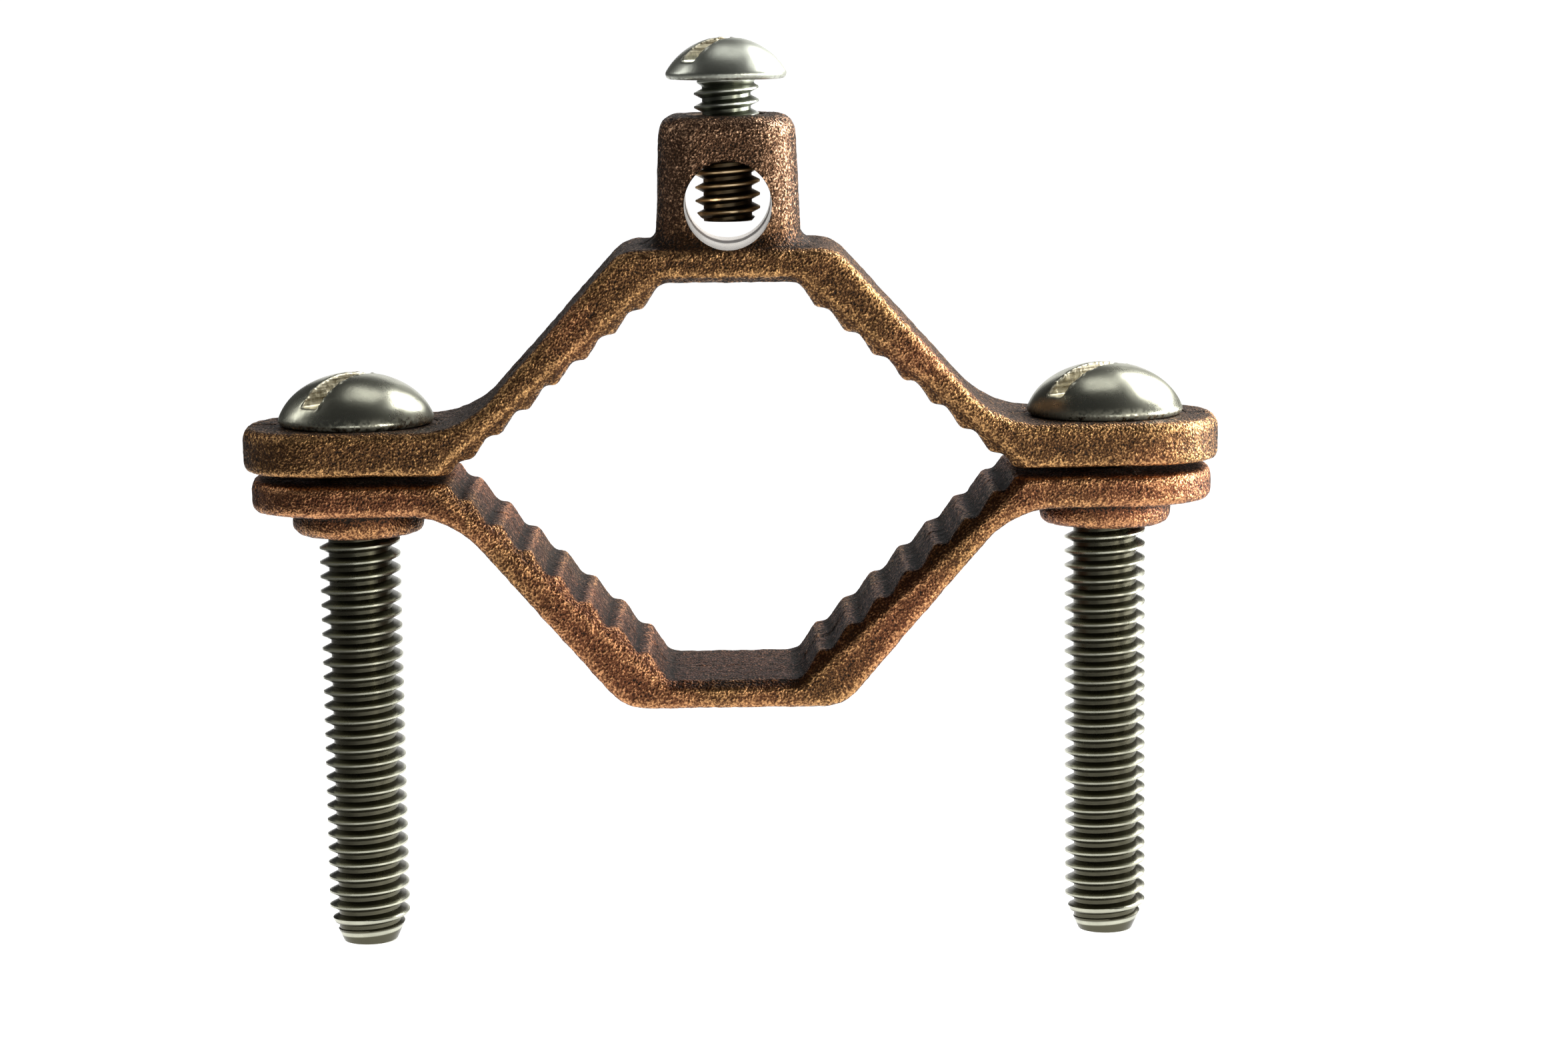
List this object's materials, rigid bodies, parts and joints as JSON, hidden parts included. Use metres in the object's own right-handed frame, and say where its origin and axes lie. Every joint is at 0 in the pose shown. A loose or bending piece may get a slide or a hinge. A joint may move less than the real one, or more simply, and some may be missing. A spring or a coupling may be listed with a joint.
{
  "type": "ground clamp",
  "caption": "Cast bronze pipe ground clamp: toothed V jaws drawn together by slotted side screws, with a drilled and screwed lug for the grounding wire.",
  "frame": {"origin": "on the axis of the clamped pipe, midway between the inner flats of the two jaws as they stand at rest", "axes": "+Y along the pipe and the wire hole, +X towards the right-hand clamp screw, +Z towards the wire lug; clamp screws are vertical with their heads up"},
  "size_m": [0.0934, 0.019, 0.0872],
  "materials": {
    "cast_bronze": "sand-cast and tumbled, brown with golden grain",
    "clamp_screw_steel": "plated steel, worn dome and oily thread",
    "lug_screw_steel": "plated steel, worn dome"
  },
  "bodies": {
    "upper_jaw": {"upper_jaw": "cast_bronze"},
    "lower_jaw": {"lower_jaw": "cast_bronze"},
    "clamp_screw_left": {"clamp_screw_left": "clamp_screw_steel"},
    "clamp_screw_right": {"clamp_screw_right": "clamp_screw_steel"},
    "lug_screw": {"lug_screw": "lug_screw_steel"}
  },
  "joints": [
    {"name": "left_screw_turn", "type": "hinge", "parent": "upper_jaw", "child": "clamp_screw_left", "pos_m": [-0.036, 0, 0.0052], "axis": [0, 0, 1], "range_deg": [-120.5, 9360.5]},
    {"name": "right_screw_turn", "type": "hinge", "parent": "upper_jaw", "child": "clamp_screw_right", "pos_m": [0.036, 0, 0.0052], "axis": [0, 0, 1], "range_deg": [-120.5, 9360.5]},
    {"name": "lower_jaw_travel", "type": "slide", "parent": "upper_jaw", "child": "lower_jaw", "axis": [0, 0, -1], "range_m": [-0.00047, 0.03668]},
    {"name": "lug_screw_travel", "type": "slide", "parent": "upper_jaw", "child": "lug_screw", "axis": [0, 0, 1], "range_m": [-0.0014, 0.00635]}
  ],
  "couplings": [
    {"joint": "left_screw_turn", "follows": "lower_jaw_travel", "rad_per_m": 4452.7},
    {"joint": "right_screw_turn", "follows": "lower_jaw_travel", "rad_per_m": 4452.7}
  ]
}
